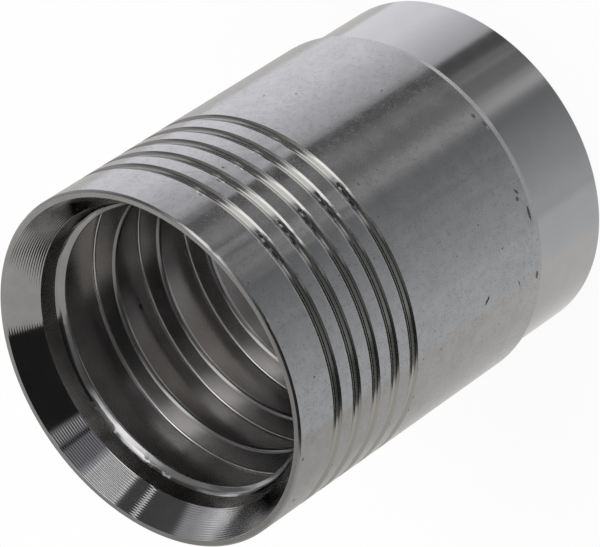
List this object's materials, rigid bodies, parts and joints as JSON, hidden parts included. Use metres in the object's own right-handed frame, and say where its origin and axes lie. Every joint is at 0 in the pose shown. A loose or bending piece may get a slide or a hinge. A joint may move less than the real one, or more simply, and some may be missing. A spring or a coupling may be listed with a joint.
{
  "type": "crimp hose ferrule",
  "caption": "Turned steel crimp sleeve for a hydraulic hose: chamfered mouth, grip ribs inside, ring grooves outside and a smaller locking collar.",
  "frame": {"origin": "centre of the collar's end face, which is the bottom of the part", "axes": "+Z along the axis, from the collar's end to the hose's mouth"},
  "size_m": [0.048, 0.048, 0.0615],
  "materials": {
    "steel": "bright turned, thinly plated steel"
  },
  "bodies": {
    "root": {"ferrule": "steel"}
  },
  "joints": []
}
